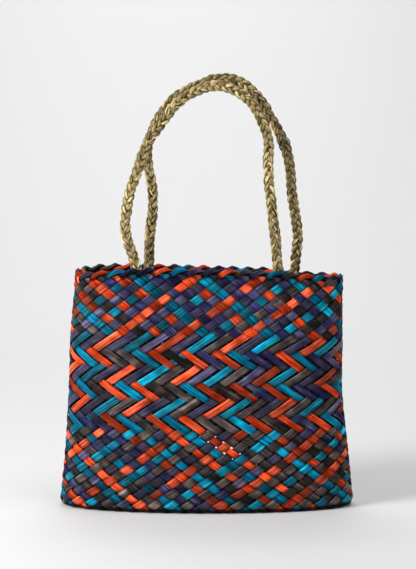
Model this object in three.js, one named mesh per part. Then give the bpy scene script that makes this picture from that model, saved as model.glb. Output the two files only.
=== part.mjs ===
// A kete: a bag plaited from dyed flax strips, with a plaited rim and two braided handles.
// Millimetres, +Z up, the front faces -Y, the origin is on the floor under the middle of the base.
import * as THREE from 'three';

// Driving dimensions of the bag
const BASE_WIDTH = 295;
const BODY_DEPTH = 100;
const WALL_HEIGHT = 232;
const WALL = 2.2;
const FOOT_RADIUS = 8;
const SHOULDER_DROP = 3.7;
const MOUTH_PINCH = 17;
const PINCH_REACH = 75;
const MOUTH_SKEW = 12;

// Driving dimensions of the rim and the handles
const RIM_HEIGHT = 9;
const RIM_THICK = 6;
const RIM_LOBE = 1.2;
const RIM_OVERLAP = 3.7;
const LOBES = 40;
const BRAID_WIDTH = 10.5;
const BRAID_THICK = 8;
const HANDLE_RISE = 192;
const HANDLE_SPAN = 295;
const GRIP_GAP = 4;
const FOOT_REACH = 40;
const KNOT_WIDTH = 15;
const KNOT_LENGTH = 15;
const CLEARANCE = 0.3;

// Facets
const COLUMNS = 80;
const WALL_ROWS = 11;
const CORNER_ROWS = 4;
const FLOOR_ROWS = 3;
const RIM_COLUMNS = 3 * LOBES;
const ROUND_SIDES = 8;
const KNOT_ROWS = 6;
const BRAID_STEP = 6;

// Horizontal sections of the bag, evenly spaced from the floor to the rim. width and shift, the
// place of the middle towards +X, are shares of BASE_WIDTH, depth is a share of BODY_DEPTH and
// square is the superellipse exponent.
const SECTIONS = [
  { width: 1.0, shift: 0, depth: 0.96, square: 2.1 },
  { width: 0.96, shift: 0, depth: 1.0, square: 2.1 },
  { width: 0.925, shift: -0.004, depth: 1.0, square: 2.15 },
  { width: 0.916, shift: 0, depth: 0.91, square: 2.7 },
  { width: 0.895, shift: 0.008, depth: 0.81, square: 3.2 },
];

// Handle routes from the left foot over the top to the right foot.
// across is a share of HANDLE_SPAN, up is a share of HANDLE_RISE, both from the middle of the rim.
const FRONT_ROUTE = [
  { across: -0.256, up: 0.13 }, { across: -0.271, up: 0.21 }, { across: -0.268, up: 0.307 },
  { across: -0.258, up: 0.404 }, { across: -0.236, up: 0.498 }, { across: -0.217, up: 0.589 },
  { across: -0.196, up: 0.667 }, { across: -0.147, up: 0.772 }, { across: -0.1, up: 0.863 },
  { across: -0.041, up: 0.925 }, { across: 0.023, up: 0.955 }, { across: 0.092, up: 0.936 },
  { across: 0.152, up: 0.863 }, { across: 0.185, up: 0.781 }, { across: 0.208, up: 0.67 },
  { across: 0.206, up: 0.559 }, { across: 0.211, up: 0.43 }, { across: 0.224, up: 0.249 },
  { across: 0.232, up: 0.13 },
];
const BACK_ROUTE = [
  { across: -0.197, up: 0.13 }, { across: -0.194, up: 0.21 }, { across: -0.184, up: 0.33 },
  { across: -0.185, up: 0.416 }, { across: -0.196, up: 0.525 }, { across: -0.203, up: 0.598 },
  { across: -0.194, up: 0.687 }, { across: -0.168, up: 0.778 }, { across: -0.132, up: 0.86 },
  { across: -0.088, up: 0.92 }, { across: -0.036, up: 0.96 }, { across: 0.048, up: 1.0 },
  { across: 0.12, up: 0.975 }, { across: 0.181, up: 0.89 }, { across: 0.22, up: 0.79 },
  { across: 0.252, up: 0.699 }, { across: 0.273, up: 0.62 }, { across: 0.286, up: 0.508 },
  { across: 0.291, up: 0.406 }, { across: 0.303, up: 0.294 }, { across: 0.313, up: 0.19 },
  { across: 0.31, up: 0.11 },
];
const FRONT_FEET = { left: -0.232, right: 0.238 };
const BACK_FEET = { left: -0.2, right: 0.304 };

// Cubic interpolation in one column of the section table
function section(column, share) {
  const last = SECTIONS.length - 1;
  const place = Math.min(Math.max(share, 0), 1) * last;
  const k = Math.min(Math.floor(place), last - 1);
  const at = (i) => SECTIONS[i][column];
  const slope = (i) => {
    const low = Math.max(i - 1, 0);
    const high = Math.min(i + 1, last);
    return (at(high) - at(low)) / (high - low);
  };
  const s = place - k;
  const s2 = s * s;
  const s3 = s2 * s;
  return (2 * s3 - 3 * s2 + 1) * at(k) + (s3 - 2 * s2 + s) * slope(k)
    + (3 * s2 - 2 * s3) * at(k + 1) + (s3 - s2) * slope(k + 1);
}

const halfWidth = (share) => (section('width', share) * BASE_WIDTH) / 2;
const middleAt = (share) => section('shift', share) * BASE_WIDTH;

// The handles draw the walls together over the middle of the mouth, more so to the right.
// x is measured from the middle of the section.
function drawnIn(x, share) {
  const reach = Math.max(0, (share - 0.45) / 0.55) ** 1.5;
  const pinch = (MOUTH_PINCH / BODY_DEPTH) * Math.exp(-((x / PINCH_REACH) ** 2));
  const skew = ((MOUTH_SKEW / BODY_DEPTH) * x) / halfWidth(share);
  return (1 - reach * pinch) * (1 - reach * skew);
}

// Distance of the middle of the wall from the centre plane, at x
function halfDepth(x, share) {
  const square = section('square', share);
  const rest = Math.max(0, 1 - Math.abs(x / halfWidth(share)) ** square);
  return ((section('depth', share) * BODY_DEPTH) / 2) * rest ** (1 / square) * drawnIn(x, share);
}

// One shoulder of the bag stands higher than the other.
const heightAt = (x, share) => WALL_HEIGHT * share - (SHOULDER_DROP * share * share * x) / halfWidth(share);

// One horizontal section: points evenly spaced round it from the front middle towards +X,
// moved outwards by offset, with the outward direction of each
function outline(share, count, offset) {
  const fine = 24 * COLUMNS;
  const dense = [];
  for (let i = 0; i <= fine; i += 1) {
    const turn = (i / fine) * 2 * Math.PI;
    const s = Math.sin(turn);
    const x = halfWidth(share) * Math.sign(s) * Math.abs(s) ** (2 / section('square', share));
    const side = Math.cos(turn) > 0 ? -1 : 1;
    dense.push(new THREE.Vector2(x + middleAt(share), side * halfDepth(x, share)));
  }
  const along = [0];
  for (let i = 1; i <= fine; i += 1) along.push(along[i - 1] + dense[i].distanceTo(dense[i - 1]));
  const points = [];
  let k = 0;
  for (let i = 0; i < count; i += 1) {
    const goal = (along[fine] * i) / count;
    while (along[k + 1] < goal) k += 1;
    const part = (goal - along[k]) / Math.max(along[k + 1] - along[k], 1e-9);
    points.push(dense[k].clone().lerp(dense[k + 1], part));
  }
  return points.map((point, i) => {
    const ahead = points[(i + 1) % count].clone().sub(points[(i + count - 1) % count]).normalize();
    const out = new THREE.Vector2(ahead.y, -ahead.x);
    return { point: point.clone().addScaledVector(out, offset), middle: point, out };
  });
}

// A closed skin over a stack of rings with equal counts, capped by a point at each end
function skin(rings, firstCap, lastCap) {
  const count = rings[0].length;
  const positions = [];
  rings.flat().concat([firstCap, lastCap]).forEach((p) => positions.push(p.x, p.y, p.z));
  const first = rings.length * count;
  const index = [];
  for (let j = 0; j < count; j += 1) {
    const next = (j + 1) % count;
    index.push(first, next, j);
    for (let i = 0; i < rings.length - 1; i += 1) {
      const [a, b] = [i * count + j, i * count + next];
      const [c, d] = [a + count, b + count];
      index.push(a, b, d, a, d, c);
    }
    const tail = (rings.length - 1) * count;
    index.push(first + 1, tail + j, tail + next);
  }
  return closed(positions, index);
}

// A mesh from its corners and its triangles
function closed(positions, index) {
  const geometry = new THREE.BufferGeometry();
  geometry.setAttribute('position', new THREE.Float32BufferAttribute(positions, 3));
  geometry.setIndex(index);
  geometry.computeVertexNormals();
  return geometry;
}

// The bag: outer skin from the middle of the base up to the rim, then the inner skin back down
function wovenBody() {
  const top = WALL_HEIGHT - RIM_OVERLAP - CLEARANCE;
  const wallRing = (height, offset) => outline(height / WALL_HEIGHT, COLUMNS, offset)
    .map(({ point, middle }) => {
      const share = height / WALL_HEIGHT;
      return new THREE.Vector3(point.x, point.y, heightAt(middle.x, share));
    });
  const flatRing = (height, offset, shrink) => outline(0, COLUMNS, offset)
    .map(({ point }) => new THREE.Vector3(point.x * shrink, point.y * shrink, height));
  const cornerRing = (radius, offset, floor, turn) => {
    const height = floor + radius * (1 - Math.sin(turn));
    return outline(height / WALL_HEIGHT, COLUMNS, offset - radius * (1 - Math.cos(turn)))
      .map(({ point }) => new THREE.Vector3(point.x, point.y, height));
  };
  const side = (offset, radius, floor) => {
    const rings = [];
    for (let i = 1; i <= FLOOR_ROWS; i += 1) {
      rings.push(flatRing(floor, offset - radius, i / FLOOR_ROWS));
    }
    for (let i = CORNER_ROWS - 1; i > 0; i -= 1) {
      rings.push(cornerRing(radius, offset, floor, (i / CORNER_ROWS) * (Math.PI / 2)));
    }
    for (let i = 0; i <= WALL_ROWS; i += 1) {
      rings.push(wallRing(FOOT_RADIUS + ((top - FOOT_RADIUS) * i) / WALL_ROWS, offset));
    }
    return rings;
  };
  const outer = side(WALL / 2, FOOT_RADIUS, 0);
  const inner = side(-WALL / 2, FOOT_RADIUS - WALL, WALL).reverse();
  return skin([...outer, ...inner], new THREE.Vector3(0, 0, 0), new THREE.Vector3(0, 0, WALL));
}

// The plaited rim: a ring that rises a little over each turned strip
function rimPlait() {
  const positions = [];
  const index = [];
  outline(1, RIM_COLUMNS, 0).forEach(({ middle, out }, i) => {
    const lobe = (RIM_LOBE / 2) * (1 - Math.cos((2 * Math.PI * LOBES * i) / RIM_COLUMNS));
    const base = heightAt(middle.x, 1) - RIM_OVERLAP;
    for (let k = 0; k < ROUND_SIDES; k += 1) {
      const turn = (2 * Math.PI * k) / ROUND_SIDES;
      const across = (RIM_THICK / 2) * Math.sin(turn);
      const up = ((RIM_HEIGHT - RIM_LOBE + lobe) / 2) * (1 - Math.cos(turn));
      positions.push(middle.x + out.x * across, middle.y + out.y * across, base + up);
      const [j, l] = [(i + 1) % RIM_COLUMNS, (k + 1) % ROUND_SIDES];
      const corner = (column, side) => column * ROUND_SIDES + side;
      index.push(corner(i, k), corner(j, k), corner(j, l), corner(i, k), corner(j, l), corner(i, l));
    }
  });
  return closed(positions, index);
}

// Half sizes of the braid at a distance from its nearer end, where it is tied in a knot
function braidHalf(fromEnd) {
  const bulge = Math.sin(Math.PI * Math.min(1, (fromEnd + KNOT_LENGTH / 8) / (KNOT_LENGTH * 1.125)));
  const knot = (KNOT_WIDTH / 2) * bulge;
  if (fromEnd < KNOT_LENGTH / 2) return { wide: knot, thin: knot };
  return { wide: Math.max(BRAID_WIDTH / 2, knot), thin: Math.max(BRAID_THICK / 2, knot) };
}

// A handle leg inside the mouth, from its knot up past the rim; inward is +1 at the front wall
function footPoints(across, inward) {
  const x = across * HANDLE_SPAN;
  const knotClear = WALL / 2 + CLEARANCE + KNOT_WIDTH / 2;
  const wallClear = WALL / 2 + CLEARANCE + BRAID_THICK / 2;
  const rimClear = RIM_THICK / 2 + CLEARANCE + BRAID_THICK / 2;
  const stations = [
    { height: WALL_HEIGHT - FOOT_REACH, clear: knotClear },
    { height: WALL_HEIGHT - FOOT_REACH + KNOT_LENGTH / 2, clear: knotClear },
    { height: WALL_HEIGHT - FOOT_REACH + KNOT_LENGTH * 1.2, clear: wallClear },
    { height: WALL_HEIGHT - RIM_HEIGHT, clear: (wallClear + rimClear) / 2 },
    { height: WALL_HEIGHT - RIM_OVERLAP, clear: rimClear },
    { height: WALL_HEIGHT + RIM_HEIGHT - RIM_OVERLAP, clear: rimClear },
  ];
  return stations.map(({ height, clear }) => {
    const share = Math.min(1, height / WALL_HEIGHT);
    const wall = halfDepth(x - middleAt(share), share);
    return new THREE.Vector3(x, -inward * (wall - clear), height - (SHOULDER_DROP * x) / halfWidth(1));
  });
}

// A whole handle: both legs lean from their wall towards the grip over the middle of the mouth
function handleCurve(route, feet, inward) {
  const left = footPoints(feet.left, inward);
  const right = footPoints(feet.right, inward).reverse();
  const grip = (-inward * (BRAID_THICK + GRIP_GAP)) / 2;
  const over = route.map(({ across, up }) => {
    const start = across < 0 ? left[left.length - 1].y : right[0].y;
    const lean = grip + (start - grip) * (1 - Math.min(up, 1)) ** 2;
    return new THREE.Vector3(across * HANDLE_SPAN, lean, WALL_HEIGHT + up * HANDLE_RISE + RIM_OVERLAP);
  });
  return new THREE.CatmullRomCurve3([...left, ...over, ...right], false, 'centripetal');
}

// The braid carried along the curve as an eight-sided section, wide across and thin front to back
function braidedHandle(route, feet, inward) {
  const curve = handleCurve(route, feet, inward);
  const length = curve.getLength();
  const steps = Math.round(length / BRAID_STEP);
  const inKnot = Array.from({ length: KNOT_ROWS + 1 }, (_, k) => (k * KNOT_LENGTH) / KNOT_ROWS);
  const clear = KNOT_LENGTH + BRAID_STEP / 4;
  const between = [];
  for (let i = 1; i < steps; i += 1) between.push((length * i) / steps);
  const stops = [...inKnot, ...between.filter((d) => d > clear && d < length - clear),
    ...inKnot.map((d) => length - d).reverse()];
  const rings = stops.map((distance) => {
    const centre = curve.getPointAt(distance / length);
    const ahead = curve.getTangentAt(distance / length);
    const wide = new THREE.Vector3().crossVectors(ahead, new THREE.Vector3(0, 1, 0)).normalize();
    const thin = new THREE.Vector3().crossVectors(ahead, wide);
    const half = braidHalf(Math.min(distance, length - distance));
    return Array.from({ length: ROUND_SIDES }, (_, k) => {
      const turn = (2 * Math.PI * (k + 0.5)) / ROUND_SIDES;
      return centre.clone()
        .addScaledVector(wide, half.wide * Math.cos(turn))
        .addScaledVector(thin, half.thin * Math.sin(turn));
    });
  });
  return skin(rings, curve.getPointAt(0), curve.getPointAt(1));
}

function mesh(name, geometry, color, roughness) {
  const part = new THREE.Mesh(geometry, new THREE.MeshStandardMaterial({ color, roughness, metalness: 0 }));
  part.name = name;
  return part;
}

const kete = new THREE.Group();
kete.name = 'kete';
kete.add(mesh('woven_body', wovenBody(), 0x1f7f94, 0.6));
kete.add(mesh('rim_plait', rimPlait(), 0xd9512d, 0.6));
kete.add(mesh('front_handle', braidedHandle(FRONT_ROUTE, FRONT_FEET, 1), 0x9c935a, 0.75));
kete.add(mesh('back_handle', braidedHandle(BACK_ROUTE, BACK_FEET, -1), 0x8a8250, 0.75));

export default kete;
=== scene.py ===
import bpy
import numpy as np
from bpy.props import FloatProperty, FloatVectorProperty, IntProperty, PointerProperty
from bpy.types import Operator, Panel, PropertyGroup
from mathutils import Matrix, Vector


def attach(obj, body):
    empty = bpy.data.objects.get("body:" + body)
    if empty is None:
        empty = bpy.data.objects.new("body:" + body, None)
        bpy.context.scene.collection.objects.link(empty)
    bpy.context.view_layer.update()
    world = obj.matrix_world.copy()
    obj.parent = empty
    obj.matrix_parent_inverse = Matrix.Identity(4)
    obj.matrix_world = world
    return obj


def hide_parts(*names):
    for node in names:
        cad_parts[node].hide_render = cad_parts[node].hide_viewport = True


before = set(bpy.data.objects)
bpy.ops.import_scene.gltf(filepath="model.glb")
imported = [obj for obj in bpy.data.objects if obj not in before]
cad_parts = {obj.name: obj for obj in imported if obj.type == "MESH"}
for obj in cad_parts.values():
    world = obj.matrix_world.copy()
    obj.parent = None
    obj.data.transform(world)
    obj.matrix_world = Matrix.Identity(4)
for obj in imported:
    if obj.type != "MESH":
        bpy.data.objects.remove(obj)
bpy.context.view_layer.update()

bl_info = {
    "name": "Plaited kete",
    "version": (1, 0, 0),
    "blender": (4, 5, 0),
    "location": "View3D > Sidebar > Kete",
    "description": "A flax bag plaited strip by strip, with a twisted rim and two braided handles",
    "category": "Add Mesh",
}

# The bag's form in metres, as in the part's source
BASE_WIDTH = 0.295
BODY_DEPTH = 0.100
WALL_HEIGHT = 0.232
WALL = 0.0022
FOOT_RADIUS = 0.008
SHOULDER_DROP = 0.0037
MOUTH_PINCH = 0.017
PINCH_REACH = 0.075
MOUTH_SKEW = 0.012
RIM_HEIGHT = 0.009
RIM_THICK = 0.006
RIM_OVERLAP = 0.0037
BRAID_WIDTH = 0.0105
BRAID_THICK = 0.008
HANDLE_RISE = 0.192
HANDLE_SPAN = 0.295
GRIP_GAP = 0.004
FOOT_REACH = 0.040
KNOT_WIDTH = 0.015
KNOT_LENGTH = 0.015
CLEARANCE = 0.0003

# Horizontal sections, evenly spaced from the floor to the rim, as shares of the sizes above
SECTION = {
    "width": (1.0, 0.96, 0.925, 0.916, 0.895),
    "shift": (0.0, 0.0, -0.004, 0.0, 0.008),
    "depth": (0.96, 1.0, 1.0, 0.91, 0.81),
    "square": (2.1, 2.1, 2.15, 2.7, 3.2),
}

# Handle routes, across as a share of HANDLE_SPAN and up as a share of HANDLE_RISE
FRONT_ROUTE = (
    (-0.256, 0.13), (-0.271, 0.21), (-0.268, 0.307), (-0.258, 0.404), (-0.236, 0.498),
    (-0.217, 0.589), (-0.196, 0.667), (-0.147, 0.772), (-0.1, 0.863), (-0.041, 0.925),
    (0.023, 0.955), (0.092, 0.936), (0.152, 0.863), (0.185, 0.781), (0.208, 0.67),
    (0.206, 0.559), (0.211, 0.43), (0.224, 0.249), (0.232, 0.13),
)
BACK_ROUTE = (
    (-0.197, 0.13), (-0.194, 0.21), (-0.184, 0.33), (-0.185, 0.416), (-0.196, 0.525),
    (-0.203, 0.598), (-0.194, 0.687), (-0.168, 0.778), (-0.132, 0.86), (-0.088, 0.92),
    (-0.036, 0.96), (0.048, 1.0), (0.12, 0.975), (0.181, 0.89), (0.22, 0.79),
    (0.252, 0.699), (0.273, 0.62), (0.286, 0.508), (0.291, 0.406), (0.303, 0.294),
    (0.313, 0.19), (0.31, 0.11),
)
FRONT_FEET = (-0.232, 0.238)
BACK_FEET = (-0.2, 0.304)

# The plaiting. Strips lean both ways, STRIPS of each, and cross in rows counted down from the rim.
# A rising strip keeps turn + row / 2, a falling one keeps turn - row / 2, with turn in strips.
STRIPS = 40
FRONT_TURN = 13
FIRST_RISING = 2
FIRST_FALLING = -15
LAST_ROW = 50
FIRST_TWILL_ROW = 10
LAST_TWILL_ROW = 27
TWILL_FLOAT = 3
# The back's plait lies this far round, in strips, and down, in rows, from the front's
BACK_SLIP = (0.225, 0.15)
# Where both walls are loose enough to see through: turn, row and the lean of the loose lane, on the
# front and on the back
LOOSE = ((13.9, 30.2, -1), (31.5, 32.9, 1))
# The dye of each strip in order, O orange, T teal, N navy, K black-brown
RISING_DYES = "TNOKKOTNTNONTNONTKONTKNOTKNOKTKNOKTKOKTK"
FALLING_DYES = "ONKTOKTNNOTKOTOKKTOKONOTNNOTNNOKNTKOTKNT"
DYE_NAMES = {"O": "orange", "T": "teal", "N": "navy", "K": "black"}
# Short ends that stick out of the rim's corners: start, bend and tip of each
LOOSE_ENDS = {
    "O": (((-0.1205, -0.010, 0.2335), (-0.1232, -0.009, 0.2370), (-0.1240, -0.008, 0.2408)),),
    "T": (((0.1285, -0.004, 0.2262), (0.1325, -0.004, 0.2278), (0.1368, -0.003, 0.2316)),),
    "N": (((0.1180, -0.031, 0.2290), (0.1240, -0.033, 0.2262), (0.1268, -0.027, 0.2215)),),
    "K": (
        ((0.1155, -0.031, 0.2225), (0.1205, -0.033, 0.2300), (0.1262, -0.027, 0.2272)),
        ((0.1215, -0.030, 0.2222), (0.1225, -0.034, 0.2262), (0.1290, -0.024, 0.2290)),
    ),
}
# Where a new length of flax was spliced into the back handle, across and up
SPLICE = (0.0783, 0.3625)
# Rows down the wall: row number and height over the floor
ROW_STOPS = (
    (-2.0, 0.2454), (0.0, 0.2332), (9.5, 0.1753), (27.5, 0.0808), (37.0, 0.0252), (41.0, 0.0028),
    (52.0, -0.0567),
)
# Where a strip starts and ends, in rows
STRIP_START = -0.35
STRIP_END = LAST_ROW + 0.15
# How far a loose spot reaches across its lane, in strips, and along it, in rows
LOOSE_REACH = (0.85, 2.4)
# How far round the lobes of the rim lie at the back, in strips
LOBE_SLIP = 0.2
# Rounded sizes of the plait in metres: a strip's share of the way round the bag, half its breadth and
# its length from row to row
STRIP_PITCH = 0.016
HALF_STRIP = 0.0045
ROW_RUN = 0.01
# The map of the fibres is this long in metres, and each strip and blade starts anywhere on it
MAP_LENGTH = 9
# First random seed of each group of pieces
RISING_SEED, FALLING_SEED, RIM_SEED, BRAID_SEED = 21, 11, 61, 81


def linear(red, green, blue):
    """A colour named in 0 to 255 display values, as scene values."""
    shown = np.array((red, green, blue)) / 255
    return tuple(np.where(shown <= 0.04045, shown / 12.92, ((shown + 0.055) / 1.055) ** 2.4))


def settle(low, high, value):
    """0 below low, 1 above high, and a smooth step between."""
    t = np.clip((value - low) / (high - low), 0, 1)
    return t * t * (3 - 2 * t)


def unit(vectors):
    return vectors / np.maximum(np.linalg.norm(vectors, axis=-1, keepdims=True), 1e-12)


def wander(rng, count, places, spacing):
    """Smooth random values from -1 to 1 for count strips: random heights at knots one spacing apart,
    joined by a smooth step, read at places."""
    knots = rng.uniform(-1, 1, (count, int(np.ceil(np.ptp(places) / spacing)) + 2))
    at = (places - places.min()) / spacing
    low = np.floor(at).astype(int)
    part = settle(0, 1, at - low)
    return knots[:, low] * (1 - part) + knots[:, low + 1] * part


def section(column, share):
    """Cubic Hermite interpolation in one column of the section table, with slopes from the
    neighbours."""
    values = np.array(SECTION[column])
    slopes = np.gradient(values)
    place = np.clip(share, 0, 1) * (len(values) - 1)
    k = np.minimum(place.astype(int), len(values) - 2)
    s = place - k
    return (
        (2 * s**3 - 3 * s**2 + 1) * values[k]
        + (s**3 - 2 * s**2 + s) * slopes[k]
        + (3 * s**2 - 2 * s**3) * values[k + 1]
        + (s**3 - s**2) * slopes[k + 1]
    )


def half_width(share):
    return section("width", share) * BASE_WIDTH / 2


def middle_at(share):
    return section("shift", share) * BASE_WIDTH


def half_depth(x, share):
    """Half the bag's depth: a superellipse in plan, drawn in over the mouth by a bell curve of x and
    a little more towards +X."""
    square = section("square", share)
    across = np.abs(x / half_width(share))
    rest = np.maximum(0, 1 - across**square) ** (1 / square)
    reach = np.maximum(0, (share - 0.45) / 0.55) ** 1.5
    pinch = MOUTH_PINCH / BODY_DEPTH * np.exp(-((x / PINCH_REACH) ** 2))
    skew = MOUTH_SKEW / BODY_DEPTH * x / half_width(share)
    depth = section("depth", share) * BODY_DEPTH / 2 * rest
    return depth * (1 - reach * pinch) * (1 - reach * skew)


class BagSurface:
    """The middle of the plaited cloth as a grid over row and turn.

    Down the wall a row is a height. Under FOOT_RADIUS the wall turns through a quarter circle, and
    the base runs in from its edge to a seam on the long axis. Round the bag a turn is an arc length,
    an equal share of each section's whole."""

    FINE_ROWS = 8
    FINE_TURNS = 24
    OUTLINE_POINTS = 2881

    def __init__(self):
        stops = np.array(ROW_STOPS)
        self.rows = np.arange(stops[0, 0] * self.FINE_ROWS, stops[-1, 0] * self.FINE_ROWS + 1)
        self.rows = self.rows / self.FINE_ROWS
        self.turns = np.arange(STRIPS * self.FINE_TURNS + 1) / self.FINE_TURNS
        down = np.interp(self.rows, stops[:, 0], stops[:, 1]) - FOOT_RADIUS
        self.points = np.array([self.ring(along) for along in down])
        across = np.gradient(self.points, axis=1)
        across[:, [0, -1]] = ((self.points[:, 1] - self.points[:, -2]) / 2)[:, None]
        self.normals = unit(np.cross(across, -np.gradient(self.points, axis=0)))

    def turned(self, inside, height):
        """How far round each turn lies, in strips from the middle of the front, shifted a little so
        that the plait stands where the photo shows it. offset turns the whole ring. slack moves the
        front alone, by a bell curve round its middle near the foot and by a slow sine higher up,
        but for the waist."""
        offset = 0.26 - 0.31 * max(0, 1 - 2 * float(inside)) ** 2
        beside = self.turns - FRONT_TURN
        high = settle(0.075, 0.11, height)
        waist = settle(0.13, 0.155, height) * (1 - settle(0.18, 0.2, height))
        slack = 0.13 * high * (1 - waist) * np.sin(0.27 * (beside + 3.1))
        slack = slack - 0.16 * (1 - high) * np.exp(-((beside / 3.6) ** 2))
        slack = slack * settle(4, 6, self.turns) * (1 - settle(20, 22, self.turns))
        return beside + offset + slack

    def droop(self, lean, front, share, height):
        """How far the rim hangs lower towards both ends of the mouth. lean is -1 at the left end and
        1 at the right. Each part grows in a smooth step over the last of the width, and from the
        upper wall to the rim. The left end hangs lower on the front."""
        top = max(0, 4 * float(share) - 3)
        left = settle(0.35, 0.95, -lean) * (0.0012 + 0.0042 * front) * top
        corner = settle(0.8, 1.0, -lean) * 0.0024 * top
        right = settle(0.4, 0.9, lean) * 0.0034 * settle(0.1, 0.15, height)
        return left + corner + right

    def ring(self, along):
        """One row's points. along is the way up the wall from the top of the corner, negative
        below. Each turn takes an equal share of the outline, and under the wall the ring moves
        inwards round the corner and then towards the seam."""
        radius = FOOT_RADIUS - WALL / 2
        bend = np.clip(-along / radius, 0, np.pi / 2)
        height = FOOT_RADIUS + max(along, 0) - radius * np.sin(bend)
        share = np.array(height / WALL_HEIGHT)
        inside = np.minimum(share, 1.0)
        angle = np.linspace(0, 2 * np.pi, self.OUTLINE_POINTS)
        x = half_width(inside) * np.sign(np.sin(angle)) * np.abs(np.sin(angle)) ** (
            2 / section("square", inside)
        )
        side = np.where(np.cos(angle) > 0, -1, 1)
        outline = np.stack([x + middle_at(inside), side * half_depth(x, inside)], 1)
        steps = np.linalg.norm(np.diff(outline, axis=0), axis=1)
        length = np.concatenate([[0], np.cumsum(steps)])
        goal = (self.turned(inside, height) / STRIPS % 1) * length[-1]
        ring = np.stack([np.interp(goal, length, outline[:, k]) for k in (0, 1)], 1)
        local_x = np.interp(goal, length, x)
        inset = radius * (1 - np.cos(bend))
        ahead = np.gradient(ring, axis=0)
        ahead[[0, -1]] = (ring[1] - ring[-2]) / 2
        ring = ring - unit(np.stack([ahead[:, 1], -ahead[:, 0]], 1)) * inset
        under = max(0, -along - radius * np.pi / 2)
        half = section("depth", inside) * BODY_DEPTH / 2 - inset
        to_seam = min(under / float(half), 1)
        seam = ring * (1 - BODY_DEPTH / BASE_WIDTH, 0)
        ring = ring * (1 - to_seam) + seam * to_seam
        lean = local_x / half_width(inside)
        front = 0.5 - 0.5 * np.clip(ring[:, 1] / 0.022, -1, 1)
        z = height - SHOULDER_DROP * share**2 * lean - self.droop(lean, front, share, height)
        return np.column_stack([ring, np.broadcast_to(z, local_x.shape)])

    def place(self, turn, row, lift):
        """The point at a turn and a row, lifted along the outward normal, by bilinear lookup."""
        r = np.clip((row - self.rows[0]) * self.FINE_ROWS, 0, len(self.rows) - 1.001)
        t = (turn % STRIPS) * self.FINE_TURNS
        i, j = r.astype(int), t.astype(int)
        fr, ft = (r - i)[..., None], (t - j)[..., None]
        found = []
        for grid in (self.points, self.normals):
            low = grid[i, j] * (1 - ft) + grid[i, j + 1] * ft
            high = grid[i + 1, j] * (1 - ft) + grid[i + 1, j + 1] * ft
            found.append(low * (1 - fr) + high * fr)
        return found[0] + found[1] * lift[..., None]


def float_heights():
    """How far the rising strip stands out at each row: +1 over and -1 under, alternating in the
    plain bands and in threes in the twill band, where a float is a little higher in its middle."""
    rows = np.arange(-2, LAST_ROW + 4)
    over = np.where(rows % 2 == 0, 1.0, -1.0)
    twill = (rows >= FIRST_TWILL_ROW) & (rows <= LAST_TWILL_ROW)
    group = (rows - FIRST_TWILL_ROW) // TWILL_FLOAT
    over[twill] = np.where(group[twill] % 2 == 0, 1.0, -1.0)
    middle = twill & ((rows - FIRST_TWILL_ROW) % TWILL_FLOAT == 1)
    over[middle] *= 1.15
    over[twill & ~middle] *= 0.95
    return rows, over


def over_under(row):
    """The rising strip's height between rows: it is level at each crossing and passes through the
    middle in a smooth step, so that what shows of it is arched."""
    rows, over = float_heights()
    at = np.clip(row - rows[0], 0, len(rows) - 1.001)
    k = at.astype(int)
    part = settle(0.06, 0.94, at - k)
    return over[k] * (1 - part) + over[k + 1] * part


def float_middles(row):
    """The middle row of the float, or of the dip between two floats, that each row belongs to."""
    rows, over = float_heights()
    first = np.flatnonzero(np.diff(np.sign(over), prepend=0))
    last = np.append(first[1:], len(rows)) - 1
    middle = (rows[first] + rows[last]) / 2
    return middle[np.searchsorted(rows[first] - 0.5, row, side="right") - 1]


# The cross-sections of a strip and of a handle's blade: across in half widths, and up in half
# thicknesses
STRIP_SECTION = np.array([
    (-1.0, 0.0), (-0.93, 0.85), (-0.5, 1.0), (0.0, 1.0), (0.5, 1.0), (0.93, 0.85),
    (1.0, 0.0), (0.6, -1.0), (0.0, -1.0), (-0.6, -1.0),
])
BLADE_SECTION = np.array([
    (-1.0, 0.0), (-0.5, 1.0), (0.5, 1.0), (1.0, 0.0), (0.4, -0.8), (-0.4, -0.8),
])


def mesh_of_tubes(name, tubes, across, along, tone, deep):
    """One mesh of many closed tubes. tubes is an array [tube, step, corner, xyz], with quads between
    neighbouring steps and corners and a flat face at each end. across and along are the UV map in
    metres. The last two are values for every corner: how light its flax is, with painted highlight
    and shade on the strips' edges, and how much painted shade it takes in crevices, gaps and under
    neighbours."""
    count, steps, corners = tubes.shape[:3]
    points = tubes.reshape(-1, 3)
    index = np.arange(len(points)).reshape(count, steps, corners)
    turned = np.roll(index, -1, axis=2)
    sides = (index[:, :-1], turned[:, :-1], turned[:, 1:], index[:, 1:])
    quads = np.stack(sides, -1).reshape(-1, 4)
    ends = np.concatenate([index[:, 0, ::-1], index[:, -1]])
    loops = np.concatenate([quads.ravel(), ends.ravel()])
    totals = np.concatenate([np.full(len(quads), 4), np.full(len(ends), corners)])
    starts = np.concatenate([[0], np.cumsum(totals)[:-1]])
    mesh = bpy.data.meshes.new(name)
    mesh.vertices.add(len(points))
    mesh.vertices.foreach_set("co", points.astype(np.float32).ravel())
    mesh.loops.add(len(loops))
    mesh.loops.foreach_set("vertex_index", loops.astype(np.int32))
    mesh.polygons.add(len(totals))
    mesh.polygons.foreach_set("loop_start", starts.astype(np.int32))
    mesh.polygons.foreach_set("use_smooth", totals == 4)
    layer = mesh.uv_layers.new(name="fibre")
    flat = np.stack([across.ravel(), along.ravel()], 1)[loops]
    layer.data.foreach_set("uv", flat.astype(np.float32).ravel())
    for label, values in (("tone", tone), ("deep", deep)):
        mesh.attributes.new(label, "FLOAT", "POINT").data.foreach_set(
            "value", values.astype(np.float32).ravel()
        )
    mesh.update()
    mesh.validate()
    return mesh


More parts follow.
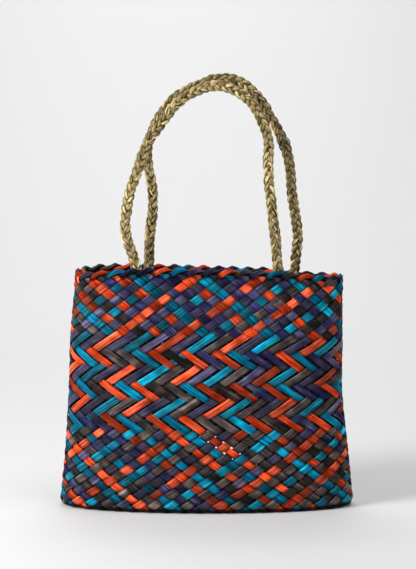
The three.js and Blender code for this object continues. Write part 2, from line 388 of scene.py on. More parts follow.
def piece(name, mesh, material, slot, *nodes):
    """The object that shows a mesh, riding on the bag and standing for its solids."""
    made = bpy.data.objects.new(name, mesh)
    bpy.context.scene.collection.objects.link(made)
    mesh.materials.clear()
    mesh.materials.append(material)
    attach(made, "root")
    if nodes:
        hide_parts(*nodes)
    return made


class Value:
    """An output socket of a finish. Arithmetic on it adds Math nodes."""

    def __init__(self, finish, socket):
        self.finish = finish
        self.socket = socket

    def math(self, operation, *values):
        return self.finish.node("Math", {"operation": operation}, dict(enumerate(values)))

    def __add__(self, other):
        return self.math("ADD", self, other)

    def __radd__(self, other):
        return self.math("ADD", other, self)

    def __sub__(self, other):
        return self.math("SUBTRACT", self, other)

    def __rsub__(self, other):
        return self.math("SUBTRACT", other, self)

    def __mul__(self, other):
        return self.math("MULTIPLY", self, other)

    def __rmul__(self, other):
        return self.math("MULTIPLY", other, self)

    def __pow__(self, other):
        return self.math("POWER", self, other)

    def __rpow__(self, other):
        return self.math("POWER", other, self)

    def clip(self, low, high):
        """0 at low and 1 at high, held outside them."""
        return self.finish.node(
            "MapRange", {"clamp": True}, {"Value": self, "From Min": low, "From Max": high}
        )


class Finish:
    """A material and its nodes."""

    def __init__(self, name):
        self.material = bpy.data.materials.new(name)
        self.material.use_nodes = True
        self.tree = self.material.node_tree
        self.tree.nodes.clear()

    def node(self, kind, settings=None, sockets=None, out=0):
        """Any node: its type, its settings, then the values or links of its sockets."""
        made = self.tree.nodes.new("ShaderNode" + kind)
        for key, value in (settings or {}).items():
            setattr(made, key, value)
        for key, value in (sockets or {}).items():
            if isinstance(value, Value):
                self.tree.links.new(value.socket, made.inputs[key])
            else:
                made.inputs[key].default_value = value
        return Value(self, made.outputs[out]) if made.outputs else None

    def mix(self, factor, first, second, blend="MIX"):
        """A colour mixed from two others."""
        made = self.tree.nodes.new("ShaderNodeMix")
        made.data_type = "RGBA"
        made.blend_type = blend
        for key, value in (("Factor", factor), (6, first), (7, second)):
            if isinstance(value, Value):
                self.tree.links.new(value.socket, made.inputs[0 if key == "Factor" else key])
            elif key == "Factor":
                made.inputs[0].default_value = value
            else:
                made.inputs[key].default_value = (*value, 1)
        return Value(self, made.outputs[2])

    def scaled(self, colour, strength):
        """A colour times a number."""
        return self.node("VectorMath", {"operation": "SCALE"}, {0: colour, "Scale": strength})

    def stored(self):
        """The map of the fibres, and the tone and the painted shade that each point of a mesh holds."""
        uv = self.node("UVMap", {"uv_map": "fibre"})
        tone = self.node("Attribute", {"attribute_name": "tone"}, out=2)
        deep = self.node("Attribute", {"attribute_name": "deep"}, out=2)
        return uv, tone, deep

    def with_painted_shade(self, colour, deep, low, high, shade):
        """A colour times a shade colour, as painted shade, by an amount which begins at low and is full at
        high.
        """
        crease = self.mix(deep.clip(low, high), (1, 1, 1), shade)
        return self.mix(1.0, colour, crease, "MULTIPLY")

    def stretched(self, uv, across, along, detail, roughness=0.5):
        """Noise drawn out along the fibres. across and along are its waves per metre."""
        vector = self.node(
            "VectorMath", {"operation": "MULTIPLY"}, {0: uv, 1: (across, along, 1.0)}
        )
        return self.node(
            "TexNoise",
            {"noise_dimensions": "2D"},
            {"Vector": vector, "Scale": 1.0, "Detail": detail, "Roughness": roughness},
        )

    def surface(self, colour, roughness, normal, **fixed):
        """The shader itself, with the values that are the same all over set on its own sockets."""
        sockets = {"Base Color": colour, "Roughness": roughness, "Normal": normal}
        sockets.update({key.replace("_", " "): value for key, value in fixed.items()})
        shader = self.node("BsdfPrincipled", {}, sockets)
        self.node("OutputMaterial", {}, {"Surface": shader})
        return self.material


def dyed_flax(name, dye, faded, fade_and_sheen, gloss):
    """Dyed flax strip: a dye that took unevenly and faded in places, fine lengthwise fibres, a satin
    face, and painted shade, nearly black, where it runs under its neighbours. The fading value is how
    much of the faded colour it takes, which on the rising strips is also a painted sheen, and gloss the
    level of its highlights. The strength doubles the colour for each step of 1: it is the strip's own
    tone and three noises about 0.5, each times its own reach."""
    finish = Finish(name)
    uv, tone, deep = finish.stored()
    fibres = finish.stretched(uv, across=2000.0, along=30.0, detail=3.0, roughness=0.6)
    bands = finish.stretched(uv, across=850.0, along=14.0, detail=3.0, roughness=0.7)
    patches = finish.stretched(uv, across=140.0, along=70.0, detail=2.0)
    cast = finish.stretched(uv, across=50.0, along=55.0, detail=1.0)
    strength = tone + (fibres - 0.5) * 4.6 + (bands - 0.5) * 6.0 + (patches - 0.5) * 2.6
    # Painted sheen: the rising strips get a higher fading value here, so more of the greyer faded colour
    # stands in for the sheen they catch.
    colour = finish.mix((cast + fade_and_sheen).clip(0.85, 1.15), dye, faded)
    colour = finish.scaled(colour, 2.0 ** strength)
    # Painted shade: near black where a strip runs under a neighbour, along its edges and at the foot.
    colour = finish.with_painted_shade(colour, deep, low=0.14, high=0.85, shade=(0.06, 0.055, 0.06))
    height = fibres * 0.5 + bands * 0.9
    normal = finish.node("Bump", {}, {"Strength": 0.7, "Distance": 0.0004, "Height": height})
    roughness = 0.44 + fibres * 0.25
    return finish.surface(colour, roughness, normal, Specular_IOR_Level=gloss)


def undyed_flax(name, straw, olive, russet):
    """Braided undyed flax: straw to olive blades with russet places, each blade with its own
    strength, fine fibres, and painted brown shade in the crevices. The strength works as in dyed flax."""
    finish = Finish(name)
    uv, tone, deep = finish.stored()
    fibres = finish.stretched(uv, across=3000.0, along=60.0, detail=3.0, roughness=0.6)
    patches = finish.stretched(uv, across=300.0, along=55.0, detail=2.0)
    strength = tone * 1.5 + (fibres - 0.5) * 4.2 + (patches - 0.5) * 2.0
    dried = finish.stretched(uv, across=420.0, along=38.0, detail=2.0)
    colour = finish.mix(patches.clip(0.40, 0.62), straw, olive)
    colour = finish.mix(dried.clip(0.54, 0.72), colour, russet)
    colour = finish.scaled(colour, 2.0 ** strength)
    # Painted shade: brown darkening in the braid's crevices, near its middle.
    colour = finish.with_painted_shade(colour, deep, low=0.05, high=0.8, shade=(0.10, 0.07, 0.04))
    normal = finish.node("Bump", {}, {"Strength": 0.6, "Distance": 0.0003, "Height": fibres})
    return finish.surface(colour, 0.45 + fibres * 0.25, normal, Specular_IOR_Level=0.25)


class KeteDyes(PropertyGroup):
    # Each faded colour is the dye's uneven fading, and on the rising strips also a painted sheen.
    orange: FloatVectorProperty(
        name="Orange", description="Orange dye", subtype="COLOR", default=linear(202, 60, 22)
    )
    orange_faded: FloatVectorProperty(
        name="Orange, faded", description="Orange dye, faded", subtype="COLOR",
        default=linear(196, 80, 50),
    )
    teal: FloatVectorProperty(
        name="Teal", description="Teal dye", subtype="COLOR", default=linear(0, 102, 134)
    )
    teal_faded: FloatVectorProperty(
        name="Teal, faded", description="Teal dye, faded", subtype="COLOR",
        default=linear(6, 128, 152),
    )
    navy: FloatVectorProperty(
        name="Navy", description="Navy dye", subtype="COLOR", default=linear(40, 38, 78)
    )
    navy_faded: FloatVectorProperty(
        name="Navy, faded", description="Navy dye, faded", subtype="COLOR",
        default=linear(72, 69, 91),
    )
    black: FloatVectorProperty(
        name="Black-brown", description="Black-brown dye", subtype="COLOR", default=linear(44, 38, 38)
    )
    black_faded: FloatVectorProperty(
        name="Black-brown, faded", description="Black-brown dye, faded", subtype="COLOR",
        default=linear(86, 75, 71),
    )
    straw: FloatVectorProperty(
        name="Straw", description="Undyed flax", subtype="COLOR", default=linear(218, 194, 144)
    )
    olive: FloatVectorProperty(
        name="Olive", description="Undyed flax, greener", subtype="COLOR", default=linear(122, 114, 64)
    )
    russet: FloatVectorProperty(
        name="Russet", description="Undyed flax, dried", subtype="COLOR", default=linear(162, 132, 90)
    )


class KetePlait(PropertyGroup):
    strip_width: FloatProperty(
        name="Strip width", description="Share of its lane that a strip fills", default=0.85,
        min=0.5, max=1.0, subtype="FACTOR",
    )
    thickness: FloatProperty(
        name="Thickness", description="Thickness of a strip", default=0.0005, unit="LENGTH"
    )
    swing: FloatProperty(
        name="Swing", description="How far a strip passes over and under", default=0.00095,
        unit="LENGTH",
    )
    crown: FloatProperty(
        name="Crown", description="How far a strip is domed across", default=0.00025, unit="LENGTH"
    )
    fineness: IntProperty(name="Fineness", description="Steps along a strip for each crossing", default=6)


class KeteHandles(PropertyGroup):
    strand: FloatProperty(
        name="Strand", description="Width of one braid strand", default=0.0056, unit="LENGTH"
    )
    plait: FloatProperty(
        name="Plait", description="Length of one whole plait", default=0.0225, unit="LENGTH"
    )
    blades: IntProperty(name="Blades", description="Flax blades in one strand", default=8)


class KeteStage(PropertyGroup):
    distance: FloatProperty(
        name="Distance", description="Camera distance from the middle of the bag", default=1.3464,
        unit="LENGTH",
    )
    camera_height: FloatProperty(
        name="Camera height", description="Camera height over the floor", default=0.3058,
        unit="LENGTH",
    )
    aim_height: FloatProperty(
        name="Aim height", description="Height that the camera looks at", default=0.2221, unit="LENGTH"
    )
    lens: FloatProperty(name="Lens", description="Focal length in millimetres", default=85.19)
    key: FloatProperty(name="Key light", description="Power of the key light in watts", default=17.5)
    wall: FloatProperty(name="Wall light", description="Power of the backdrop light in watts", default=29.0)
    floor: FloatProperty(name="Floor light", description="Power of the floor light in watts", default=5.4)
    fill: FloatProperty(name="Fill light", description="Power of the fill light in watts", default=1.2)


def dye_material(letter, dull=False):
    """The finish of one dye. The rising strips take more of the greyer faded colour, a painted sheen, and a
    higher gloss.
    """
    name = "flax_" + DYE_NAMES[letter] + ("_dull" if dull else "")
    if name in bpy.data.materials:
        return bpy.data.materials[name]
    dyes = bpy.context.scene.kete_dyes
    dye, faded = getattr(dyes, DYE_NAMES[letter]), getattr(dyes, DYE_NAMES[letter] + "_faded")
    # Painted sheen: the rising strips take more of the faded colour, and a higher gloss.
    return dyed_flax(name, tuple(dye), tuple(faded), 0.58 if dull else 0.4, 0.16 if dull else 0.06)


def around_back(turn):
    """0 on the front of the bag and 1 on its back, with a smooth step at the sides."""
    shifted = (turn - 4) % STRIPS + 4
    return settle(22.5, 25, shifted) * (1 - settle(39, 42, shifted))


def strip_tubes(surface, rising, numbers, seed):
    """The strips that lean one way, as tubes. Along its length a strip crosses the others; across,
    it keeps its own lane, whose middle wanders a little. Its lift is the swing over and under, the
    crown across, a small roll at each crossing and its thickness.

    A strip is narrower on its long floats and wider in the plain rows over them and on the back. The
    falling ones are also narrower below the floats and wider in the row under the rim. Each loose
    spot is a bell curve over turn and row that slims it. The back is shifted by BACK_SLIP. A strip's
    tone is held nearly even over each float, and one edge has a painted highlight and the other a
    painted shade. Painted shade falls where a strip runs under a neighbour, but for a few places under
    the long floats, along its edges, for the dark gaps between strips, and over the last of the wall
    over the floor, as a painted contact shadow."""
    plait = bpy.context.scene.kete_plait
    rng = np.random.default_rng(seed)
    step = np.arange(STRIP_START * plait.fineness, STRIP_END * plait.fineness) / plait.fineness
    count = len(numbers)
    lane = np.array(numbers, float)[:, None, None]
    c = STRIP_SECTION[:, 0][None, None, :]
    up = STRIP_SECTION[:, 1][None, None, :]
    row = step[None, :, None]
    sway = wander(rng, count, step, 4.0)[..., None]
    twill = settle(FIRST_TWILL_ROW - 1, FIRST_TWILL_ROW + 1, row)
    twill = twill * (1 - settle(LAST_TWILL_ROW - 1, LAST_TWILL_ROW + 1, row))
    crossed = lane - row if rising else lane + row
    middle = (lane + crossed) / 2
    behind = around_back(middle)
    loose = [
        np.exp(
            -(((middle % STRIPS - t + lean * (row - r) / 2) / LOOSE_REACH[0]) ** 2)
            - ((row - r) / LOOSE_REACH[1]) ** 2
        )
        for t, r, lean in LOOSE
    ]
    slimmer = twill * 0.04 - (1 - settle(7, 10, row)) * 0.03 + loose[0] * 0.06
    edge = 1 - settle(1.4, 2.6, row)
    if not rising:
        slimmer = slimmer + twill * 0.04 + settle(LAST_TWILL_ROW - 1, LAST_TWILL_ROW + 3, row) * 0.13
        slimmer = slimmer - edge * 0.14
    breadth = plait.strip_width + rng.uniform(-0.05, 0.05, (count, 1, 1)) - slimmer
    breadth = breadth * (1 + 0.05 * wander(rng, count, step, 2.0)[..., None])
    roll = wander(rng, count, step, 1.0)[..., None]
    own_tone = rng.uniform(-1, 1, (count, 1, 1)) * 0.55
    changes = wander(rng, count, step, 1.1)[..., None]
    held = np.searchsorted(step, np.clip(float_middles(step), step[0], step[-1]))
    tone = own_tone + changes * 0.3 + changes[:, held] * 0.8
    unshaded_glimpse = settle(0.1, 0.5, wander(rng, count, step, 1.0)[..., None]) * twill * rising
    breadth = breadth + (1.0 - breadth) * behind * (1 - np.minimum(1, 1.3 * loose[1])) - 0.12 * loose[1]
    own = lane + c * breadth / 2 + sway * 0.05
    turn = (own + crossed) / 2 + BACK_SLIP[0] * behind
    depth = (own - crossed if rising else crossed - own) + BACK_SLIP[1] * behind
    over = over_under(row) * (1 if rising else -1)
    lift = (
        over * plait.swing * (1 if rising else 1 + 0.8 * edge)
        + plait.crown * (0.5 - c**2)
        + roll * c * 0.0003
        + up * plait.thickness / 2
    )
    full = np.broadcast_to(lift, turn.shape)
    tubes = surface.place(turn, depth, full)
    tubes[..., 2] = np.maximum(tubes[..., 2], 0.00005 + 0.0002 * (up + 1))
    across = np.broadcast_to(c * HALF_STRIP, turn.shape)
    along = np.broadcast_to(row * ROW_RUN + rng.uniform(0, MAP_LENGTH, (count, 1, 1)), turn.shape)
    # Painted highlight and shade: the upper-left edge of a rising strip and the upper-right edge of a
    # falling one are lighter, the other edges darker.
    tone = np.broadcast_to(tone + (-0.4 if rising else 0.25) * c * np.abs(c), turn.shape)
    # Painted shade where a strip runs under a neighbour, on the outer face, and where it passes over, on
    # the inner face; lifted at a few places under the long floats.
    deep = (0.5 - 0.5 * over * np.sign(up)) * (1 - 0.75 * unshaded_glimpse * (up > 0))
    # Painted shade along both edges of every strip, for the dark gaps between strips.
    deep = np.maximum(deep, np.where(up == 0, 0.9, 0.0))
    # Painted contact shadow along the last of the wall over the floor.
    deep = np.maximum(deep, settle(40.2, 40.9, depth) * (1 - settle(43.0, 45.0, depth)) * 0.95)
    made = (tubes, across, along, tone, deep)
    return made if rising else tuple(part[:, :, ::-1] for part in made)


def plait_strips(rising):
    """One piece for each dye of the strips that lean one way."""
    surface = BagSurface()
    dyes = RISING_DYES if rising else FALLING_DYES
    first = FIRST_RISING if rising else FIRST_FALLING
    lean = "rising" if rising else "falling"
    seed = RISING_SEED if rising else FALLING_SEED
    for k, letter in enumerate(DYE_NAMES):
        numbers = [first + i for i, dye in enumerate(dyes) if dye == letter]
        tubes = strip_tubes(surface, rising, numbers, seed + k)
        name = f"{lean}_{DYE_NAMES[letter]}"
        nodes = ("woven_body",) if rising and letter == "O" else ()
        piece(name, mesh_of_tubes(name, *tubes), dye_material(letter, rising), "dyed_flax", *nodes)


class KETE_OT_rising_strips(Operator):
    """Plait the strips that lean up to the right"""

    bl_idname = "kete.rising_strips"
    bl_label = "Rising strips"

    def execute(self, context):
        plait_strips(True)
        return {"FINISHED"}


class KETE_OT_falling_strips(Operator):
    """Plait the strips that lean down to the right"""

    bl_idname = "kete.falling_strips"
    bl_label = "Falling strips"

    def execute(self, context):
        plait_strips(False)
        return {"FINISHED"}


def rim_point(surface, turn, angle, across, rise):
    """A point round the rim's core: angle 0 is outwards and a quarter turn is up. The core rises in
    a cosine arch under each lobe, and the rim is slimmer at the two ends of the mouth."""
    zero = np.zeros_like(turn)
    core = surface.place(turn, zero, zero)
    out = surface.place(turn, zero, zero + 1) - core
    out[..., 2] = 0
    out = unit(out)
    up = np.array((0.0, 0.0, 1.0))
    across = across * (1 - 0.6 * settle(0.116, 0.131, np.abs(core[..., 0] - 0.0024)))
    arch = np.cos(2 * np.pi * (turn + 0.09 + LOBE_SLIP * around_back(turn)))
    core = core + up * (0.0018 + 0.0006 * arch)[..., None]
    return core + out * (across * np.cos(angle))[..., None] + up * (rise * np.sin(angle))[..., None]


def rim_lobes(surface, numbers, seed):
    """The turned strips of the rim. Each winds once over a core along the edge, from the outside
    below to the inside below, while it runs on to the right, and lies bent round the core for its
    whole width. It climbs faster at first, starts on top of the lobe before it, ends under the lobe
    after it, and is narrow at both ends."""
    rng = np.random.default_rng(seed)
    count = len(numbers)
    part = np.linspace(0, 1, 41)[None, :, None]
    c = STRIP_SECTION[:, 0]
    up = STRIP_SECTION[:, 1]
    middle = np.array(numbers, float)[:, None, None] - 1 + rng.uniform(-0.08, 0.08, (count, 1, 1))
    middle = middle - LOBE_SLIP * around_back(middle)
    swell = 1 + rng.uniform(-0.12, 0.18, (count, 1, 1)) * np.sin(np.pi * part)
    width = 0.0054 * (0.25 + 0.75 * np.sin(np.pi * np.clip(part * 0.94 + 0.05, 0, 1)) ** 0.6) * swell
    radius, advance, sweep = 0.0032, 1.95, np.radians(285)
    slant = np.arctan2(radius * sweep, STRIP_PITCH * advance)
    turn = middle + (part - 0.42) * advance - np.sin(slant) * width * c / STRIP_PITCH
    angle = np.radians(-47) + (1 - (1 - part) ** 1.2) * sweep + np.cos(slant) * width * c / radius
    lift = 0.0008 - 0.0018 * part + 0.0038 * (0.5 - c**2) * swell + up * 0.00035
    tubes = rim_point(surface, turn, angle, 0.0026 + lift, 0.0022 + lift)
    tone = rng.uniform(-1, 1, (count, 1, 1)) * 0.6 + wander(rng, count, part[0, :, 0], 0.2)[..., None] * 0.5
    shape = tubes.shape[:3]
    across = np.broadcast_to(c * HALF_STRIP, shape)
    along = np.broadcast_to(part * 0.03 + rng.uniform(0, MAP_LENGTH, (count, 1, 1)), shape)
    # Painted shade on the lobes' edges, where each comes out from under the one before, and all over their
    # undersides.
    deep = np.maximum(np.abs(c) ** 3 * 0.6, 1 - settle(0.0, 0.16, part) * 0.75)
    deep = np.where(up < 0, 1.0, deep)
    return tubes, across, along, np.broadcast_to(tone, shape), np.broadcast_to(deep, shape)


def loose_ends(paths):
    """The short ends that stick out of the rim at its corners: flat strips along quadratic Bezier
    curves, tapering to a tip."""
    part = np.linspace(0, 1, 41)[None, :, None]
    start, bend, tip = (np.array([path[k] for path in paths])[:, None, :] for k in range(3))
    spine = start * (1 - part) ** 2 + bend * 2 * part * (1 - part) + tip * part**2
    run = unit(np.gradient(spine, axis=1))
    flat = unit(np.cross(run, (0.0, 1.0, 0.3)))
    out = np.cross(flat, run)
    c = STRIP_SECTION[:, 0][None, None, :, None]
    up = STRIP_SECTION[:, 1][None, None, :, None]
    width = 0.0022 * (1.02 - part**2)[..., None]
    tubes = spine[:, :, None] + flat[:, :, None] * c * width + out[:, :, None] * up * 0.0003
    shape = tubes.shape[:3]
    across = np.broadcast_to(c[..., 0] * 0.0022, shape)
    along = np.broadcast_to(part * 0.01 + 3.0, shape)
    return tubes, across, along, np.full(shape, -0.4), np.full(shape, 0.1)


class KETE_OT_rim(Operator):
    """Turn each falling strip over the edge into the twisted rim"""

    bl_idname = "kete.rim"
    bl_label = "Rim"

    def execute(self, context):
        surface = BagSurface()
        for k, letter in enumerate(DYE_NAMES):
            numbers = [FIRST_FALLING + i for i, dye in enumerate(FALLING_DYES) if dye == letter]
            tubes = rim_lobes(surface, numbers, RIM_SEED + k)
            if letter in LOOSE_ENDS:
                ends = loose_ends(LOOSE_ENDS[letter])
                tubes = tuple(np.concatenate(both) for both in zip(tubes, ends))
            name = "rim_" + DYE_NAMES[letter]
            nodes = ("rim_plait",) if letter == "O" else ()
            piece(name, mesh_of_tubes(name, *tubes), dye_material(letter), "dyed_flax_rim", *nodes)
        turn = np.linspace(0, STRIPS, 481)[None, :, None]
        angle = np.linspace(0, 2 * np.pi, 8, endpoint=False)[None, None, :]
        turn, angle = np.broadcast_arrays(turn, angle)
        core = rim_point(surface, turn, angle, 0.0022, 0.0026)
        flat = np.zeros(turn.shape)
        # The core takes a darker tone and full painted shade all over, as it lies under the lobes.
        mesh = mesh_of_tubes("rim_core", core, flat, turn * STRIP_PITCH, flat - 0.8, flat + 1)
        piece("rim_core", mesh, dye_material("K"), "dyed_flax_rim")
        return {"FINISHED"}


def foot_points(across, inward):
    """A handle leg inside the mouth, from its knot up past the rim, clear of the wall and the rim."""
    x = across * HANDLE_SPAN
    knot = WALL / 2 + CLEARANCE + KNOT_WIDTH / 2
    wall = WALL / 2 + CLEARANCE + BRAID_THICK / 2
    rim = RIM_THICK / 2 + CLEARANCE + BRAID_THICK / 2
    low = WALL_HEIGHT - FOOT_REACH
    height = np.array([
        low, low + KNOT_LENGTH / 2, low + KNOT_LENGTH * 1.2, WALL_HEIGHT - RIM_HEIGHT,
        WALL_HEIGHT - RIM_OVERLAP, WALL_HEIGHT + RIM_HEIGHT - RIM_OVERLAP,
    ])
    clear = np.array([knot, knot, wall, (wall + rim) / 2, rim, rim])
    share = np.minimum(1, height / WALL_HEIGHT)
    depth = half_depth(x - middle_at(share), share)
    z = height - SHOULDER_DROP * x / half_width(np.array(1.0))
    return np.stack([np.full(6, x), -inward * (depth - clear), z], 1)


def smooth_curve(points, spacing):
    """A centripetal Catmull-Rom curve through the points, read at an even spacing."""
    gap = np.linalg.norm(np.diff(points, axis=0), axis=1) ** 0.5
    padded = np.vstack([2 * points[0] - points[1], points, 2 * points[-1] - points[-2]])
    gap = np.concatenate([gap[:1], gap, gap[-1:]])
    fine = []
    for k in range(len(points) - 1):
        t0, t1, t2, t3 = 0, gap[k], gap[k] + gap[k + 1], gap[k] + gap[k + 1] + gap[k + 2]
        t = np.linspace(t1, t2, 40, endpoint=False)[:, None]
        p0, p1, p2, p3 = padded[k:k + 4]
        a1 = (t1 - t) / (t1 - t0) * p0 + (t - t0) / (t1 - t0) * p1
        a2 = (t2 - t) / (t2 - t1) * p1 + (t - t1) / (t2 - t1) * p2
        a3 = (t3 - t) / (t3 - t2) * p2 + (t - t2) / (t3 - t2) * p3
        b1 = (t2 - t) / (t2 - t0) * a1 + (t - t0) / (t2 - t0) * a2
        b2 = (t3 - t) / (t3 - t1) * a2 + (t - t1) / (t3 - t1) * a3
        fine.append((t2 - t) / (t2 - t1) * b1 + (t - t1) / (t2 - t1) * b2)
    fine = np.vstack([*fine, points[-1:]])
    length = np.concatenate([[0], np.cumsum(np.linalg.norm(np.diff(fine, axis=0), axis=1))])
    stops = np.linspace(0, length[-1], int(length[-1] / spacing) + 1)
    return np.stack([np.interp(stops, length, fine[:, k]) for k in range(3)], 1), stops


def handle_path(route, feet, inward, spacing):
    """A whole handle's middle line: both legs lean from their wall towards the grip."""
    left = foot_points(feet[0], inward)
    right = foot_points(feet[1], inward)[::-1]
    route = np.array(route)
    grip = -inward * (BRAID_THICK + GRIP_GAP) / 2
    start = np.where(route[:, 0] < 0, left[-1, 1], right[0, 1])
    lean = grip + (start - grip) * (1 - np.minimum(route[:, 1], 1)) ** 2
    z = WALL_HEIGHT + route[:, 1] * HANDLE_RISE + RIM_OVERLAP
    over = np.stack([route[:, 0] * HANDLE_SPAN, lean, z], 1)
    return smooth_curve(np.vstack([left, over, right]), spacing)


def braid_tubes(path, stops, seed, splice):
    """Three strands in a flat braid: each swings across as the sine of its place and from front to
    back as the sine of twice that, a third of a plait apart. A strand is a ring of thin blades that
    turns slowly round it, and blades sit in and out by a little. What lies near the braid's middle
    takes painted shade. At the splice the strands are thicker and darker."""
    sizes = bpy.context.scene.kete_handles
    rng = np.random.default_rng(seed)
    ahead = unit(np.gradient(path, axis=0))
    wide = unit(np.cross(ahead, (0.0, 1.0, 0.0)))
    thin = np.cross(ahead, wide)
    from_end = np.minimum(stops, stops[-1] - stops)
    knot = np.exp(-(((from_end - KNOT_LENGTH / 2) / (KNOT_LENGTH * 0.4)) ** 2))
    joint = splice * np.exp(-(np.hypot(path[:, 0] - SPLICE[0], path[:, 2] - SPLICE[1]) / 0.005) ** 2)
    pieces = []
    wave = stops / sizes.plait * 2 * np.pi + 0.5 * np.sin(stops * 23 + seed)
    room = BRAID_WIDTH / 2 - sizes.strand / 2 + 0.0004
    c, up = BLADE_SECTION.T
    for strand in range(3):
        phase = wave + strand * 2 * np.pi / 3
        centre = (
            path
            + wide * (room * np.sin(phase) * (1 + 0.5 * knot))[:, None]
            + thin * (0.0018 * np.sin(2 * phase) * (1 + 0.9 * knot))[:, None]
        )
        run = unit(np.gradient(centre, axis=0))
        one = unit(np.cross(run, thin))
        two = np.cross(run, one)
        for blade in range(sizes.blades):
            drift = wander(rng, 1, stops, 0.02)[0]
            angle = 2 * np.pi * blade / sizes.blades + stops * 45 + 0.6 * drift
            reach = 1 + 0.16 * wander(rng, 1, stops, 0.010)[0] + 0.35 * knot + 0.45 * joint
            out = one * np.cos(angle)[:, None] + two * np.sin(angle)[:, None]
            middle = centre + out * (
                reach * np.hypot(0.0022 * np.cos(angle), 0.0014 * np.sin(angle))
            )[:, None]
            flat = unit(np.cross(out, run))
            width = 0.00105 * (1 + 0.3 * wander(rng, 1, stops, 0.015)[0])
            tube = (
                middle[:, None]
                + flat[:, None] * (width[:, None] * c)[..., None]
                + out[:, None] * (0.00042 * up)[None, :, None]
            )
            # Painted shade: blades near the braid's middle are darkened.
            apart = tube - path[:, None]
            sideways = (apart @ wide[..., None])[..., 0]
            forwards = (apart @ thin[..., None])[..., 0]
            far = np.hypot(sideways / 0.0050, forwards / 0.0033)
            tone = rng.uniform(-1, 1) * 0.6 + 0.5 * wander(rng, 1, stops, 0.025)[0] - 1.1 * joint
            shape = tube.shape[:2]
            pieces.append((
                tube,
                np.broadcast_to(c * 0.001, shape),
                np.broadcast_to(stops[:, None] + rng.uniform(0, MAP_LENGTH), shape),
                np.broadcast_to(tone[:, None], shape),
                1 - settle(0.45, 1.0, far),
            ))
    return tuple(np.array(values) for values in zip(*pieces))


class KETE_OT_handles(Operator):
    """Braid the two handles and knot them inside the mouth"""

    bl_idname = "kete.handles"
    bl_label = "Handles"

    def execute(self, context):
        dyes = context.scene.kete_dyes
        # The last value of each route scales the handle's colours: the back handle's 0.85 is painted shade,
        # for lying behind the front one.
        routes = (
            ("front_braid", FRONT_ROUTE, FRONT_FEET, 1, "front_handle", "undyed_flax", 1.0),
            ("back_braid", BACK_ROUTE, BACK_FEET, -1, "back_handle", "undyed_flax_back", 0.85),
        )
        for k, (name, route, feet, inward, node, slot, light) in enumerate(routes):
            shades = (dyes.straw, dyes.olive, dyes.russet)
            finish = undyed_flax(slot, *(tuple(np.array(colour) * light) for colour in shades))
            path, stops = handle_path(route, feet, inward, 0.0016)
            tubes = braid_tubes(path, stops, BRAID_SEED + k, k)
            piece(name, mesh_of_tubes(name, *tubes), finish, slot, node)
        return {"FINISHED"}


def backdrop():
    """A seamless sweep: a flat floor that curves up through a quarter circle into a wall."""
    across = np.linspace(-4, 4, 5)
    bend = np.linspace(0, np.pi / 2, 17)
    radius = 1.0
    y = np.concatenate([[-4, -1, 0.5], 1.3 + radius * np.sin(bend), [1.3 + radius]])
    z = np.concatenate([[0, 0, 0], radius * (1 - np.cos(bend)), [4.0]])
    points = np.array([(x, b, h) for b, h in zip(y, z) for x in across])
    faces = [
        (i * 5 + j, i * 5 + j + 1, (i + 1) * 5 + j + 1, (i + 1) * 5 + j)
        for i in range(len(y) - 1)
        for j in range(4)
    ]
    mesh = bpy.data.meshes.new("backdrop")
    mesh.from_pydata(points.tolist(), [], faces)
    mesh.polygons.foreach_set("use_smooth", [True] * len(faces))
    finish = Finish("paper")
    white = (*linear(246, 246, 246), 1)
    normal = finish.node("NewGeometry", out=1)
    mesh.materials.append(finish.surface(white, 0.9, normal))
    made = bpy.data.objects.new("backdrop", mesh)
    bpy.context.scene.collection.objects.link(made)


# Where each soft light stands, what it looks at and how wide it is
LIGHTS = {
    "key": {"place": (-1.1, -0.7, 0.85), "aim": (0, 0, 0.22), "size": 0.5},
    "fill": {"place": (1.3, -1.3, 0.6), "aim": (0, 0, 0.22), "size": 1.2},
    "wall": {"place": (-0.15, 1.1, 2.3), "aim": (0.1, 2.3, 1.1), "size": 1.6},
    "floor": {"place": (0.4, -0.42, 1.5), "aim": (0.2, -0.4, 0), "size": 0.9},
}


def soft_light(name, place, aim, size, power):
    """A square area light that looks at a point."""
    light = bpy.data.lights.new(name, "AREA")
    light.size = size
    light.energy = power
    made = bpy.data.objects.new(name, light)
    made.location = place
    made.rotation_euler = (Vector(aim) - Vector(place)).to_track_quat("-Z", "Y").to_euler()
    bpy.context.scene.collection.objects.link(made)


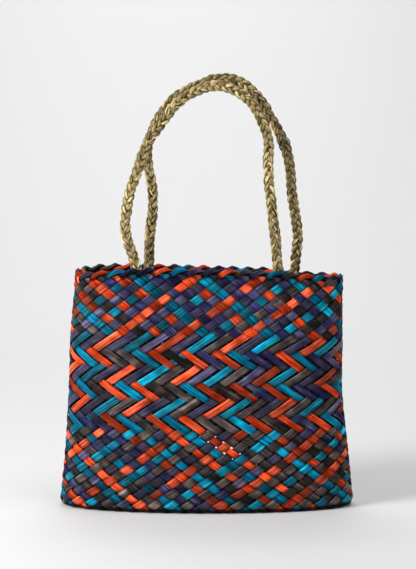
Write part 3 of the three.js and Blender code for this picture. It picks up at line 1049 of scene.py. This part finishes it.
class KETE_OT_stage(Operator):
    """Set up the camera, the pale sweep and the soft lights"""

    bl_idname = "kete.stage"
    bl_label = "Stage"

    def execute(self, context):
        stage = context.scene.kete_stage
        camera = bpy.data.objects.new("camera", bpy.data.cameras.new("camera"))
        camera.data.lens = stage.lens
        place = Vector((0, -stage.distance, stage.camera_height))
        aim = Vector((0.00134, 0, stage.aim_height))
        camera.location = place
        camera.rotation_euler = (aim - place).to_track_quat("-Z", "Y").to_euler()
        context.scene.collection.objects.link(camera)
        context.scene.camera = camera
        backdrop()
        for name, light in LIGHTS.items():
            soft_light(name, power=getattr(stage, name), **light)
        world = bpy.data.worlds.new("studio")
        world.use_nodes = True
        world.node_tree.nodes["Background"].inputs[0].default_value = (1, 1, 1, 1)
        world.node_tree.nodes["Background"].inputs[1].default_value = 0.155
        context.scene.world = world
        context.scene.view_settings.view_transform = "Standard"
        return {"FINISHED"}


class KETE_PT_panel(Panel):
    """Sizes, dyes and pieces of the kete"""

    bl_idname = "KETE_PT_panel"
    bl_label = "Kete"
    bl_space_type = "VIEW_3D"
    bl_region_type = "UI"
    bl_category = "Kete"

    def draw(self, context):
        for group in (context.scene.kete_plait, context.scene.kete_dyes, context.scene.kete_handles,
                      context.scene.kete_stage):
            box = self.layout.box()
            for name in group.bl_rna.properties.keys():
                if name not in ("rna_type", "name"):
                    box.prop(group, name)
        for operator in PIECES:
            self.layout.operator(operator.bl_idname)


GROUPS = {
    "kete_dyes": KeteDyes,
    "kete_plait": KetePlait,
    "kete_handles": KeteHandles,
    "kete_stage": KeteStage,
}
PIECES = (KETE_OT_rising_strips, KETE_OT_falling_strips, KETE_OT_rim, KETE_OT_handles, KETE_OT_stage)


def register():
    for name, group in GROUPS.items():
        bpy.utils.register_class(group)
        setattr(bpy.types.Scene, name, PointerProperty(type=group))
    for made in (*PIECES, KETE_PT_panel):
        bpy.utils.register_class(made)


def unregister():
    for made in reversed((*PIECES, KETE_PT_panel)):
        bpy.utils.unregister_class(made)
    for name, group in GROUPS.items():
        delattr(bpy.types.Scene, name)
        bpy.utils.unregister_class(group)


def main():
    register()
    bpy.ops.kete.rising_strips()
    bpy.ops.kete.falling_strips()
    bpy.ops.kete.rim()
    bpy.ops.kete.handles()
    bpy.ops.kete.stage()


if __name__ == "__main__":
    main()
